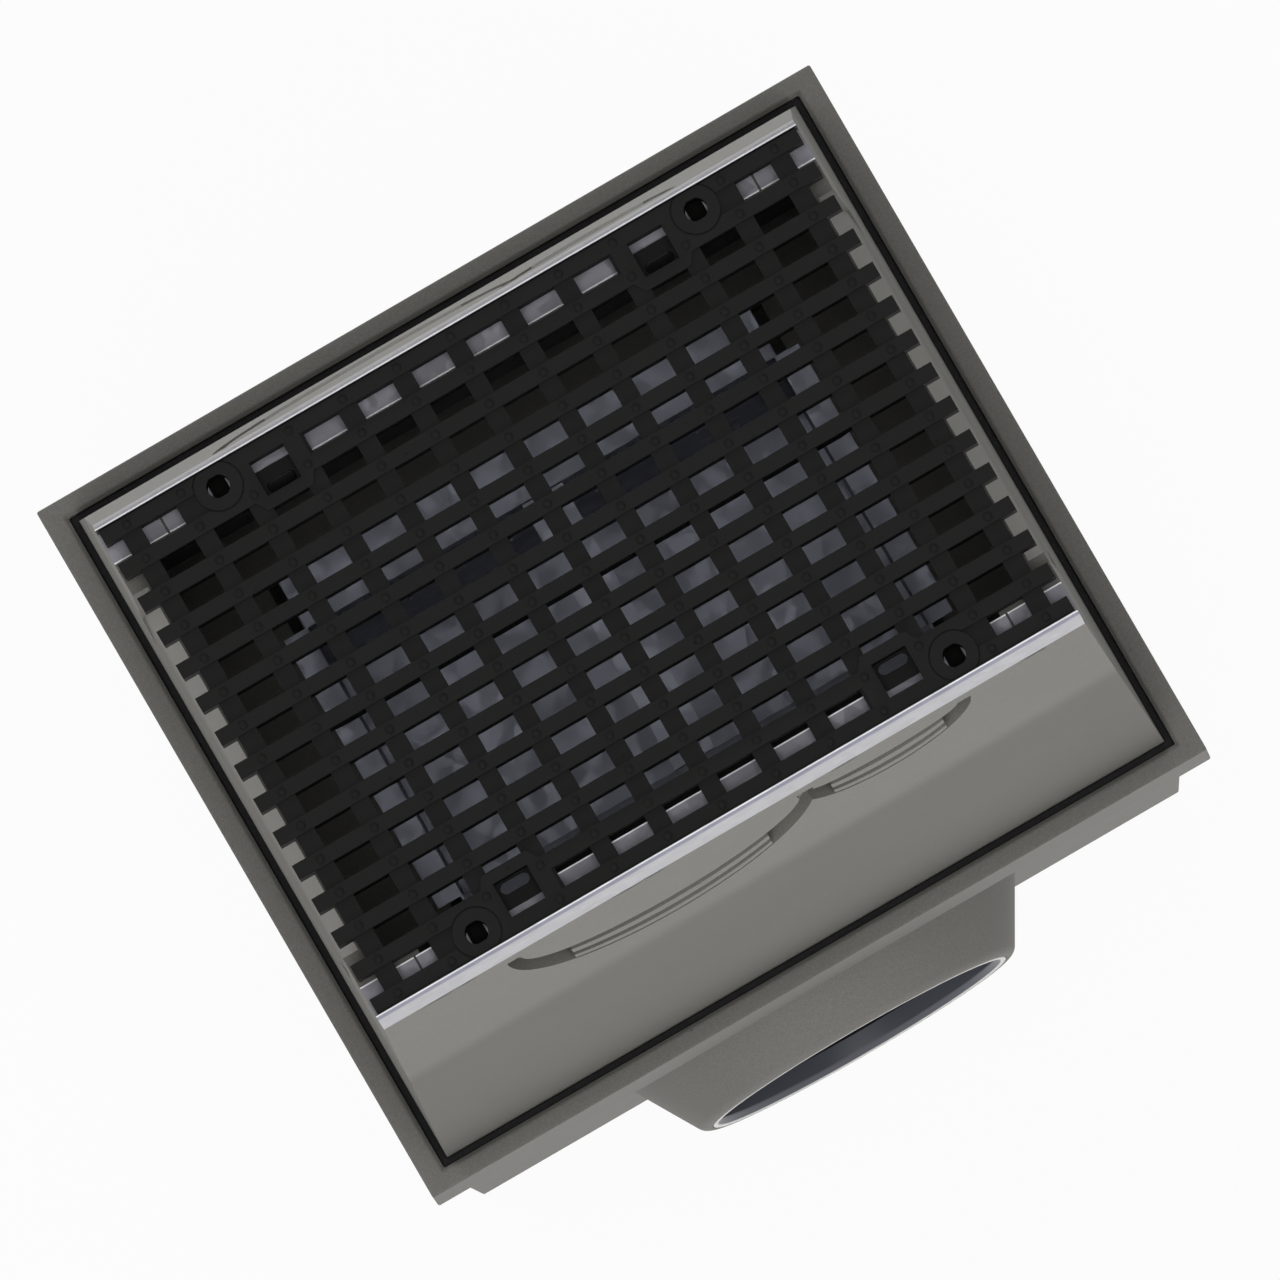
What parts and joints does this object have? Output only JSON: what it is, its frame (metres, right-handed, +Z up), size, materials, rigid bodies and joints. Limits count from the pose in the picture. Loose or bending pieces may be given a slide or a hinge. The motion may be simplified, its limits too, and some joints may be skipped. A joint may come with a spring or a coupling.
{
  "type": "catch basin",
  "caption": "Two part concrete catch basin for a drainage channel, with a slotted iron grate on steel edge rails, a silt bucket and a round pipe outlet.",
  "frame": {"origin": "centre of the underside", "axes": "+Z up through the grate, +X along the channel line, -Y out of the pipe outlet"},
  "size_m": [0.559, 0.5295, 0.95],
  "materials": {
    "lower_concrete": "fine grained, matt",
    "upper_concrete": "fine grained, matt",
    "seal_rubber": "matt",
    "socket_plastic": "satin",
    "rail_steel": "galvanised",
    "grate_iron": "dipped black",
    "bucket_steel": "galvanised"
  },
  "bodies": {
    "root": {"lower_basin": "lower_concrete", "joint_seal": "seal_rubber", "outlet_socket": "socket_plastic", "outlet_seal": "seal_rubber", "upper_basin": "upper_concrete", "front_rail": "rail_steel", "back_rail": "rail_steel", "grate": "grate_iron", "silt_bucket": "bucket_steel", "bucket_strap": "bucket_steel"}
  },
  "joints": []
}
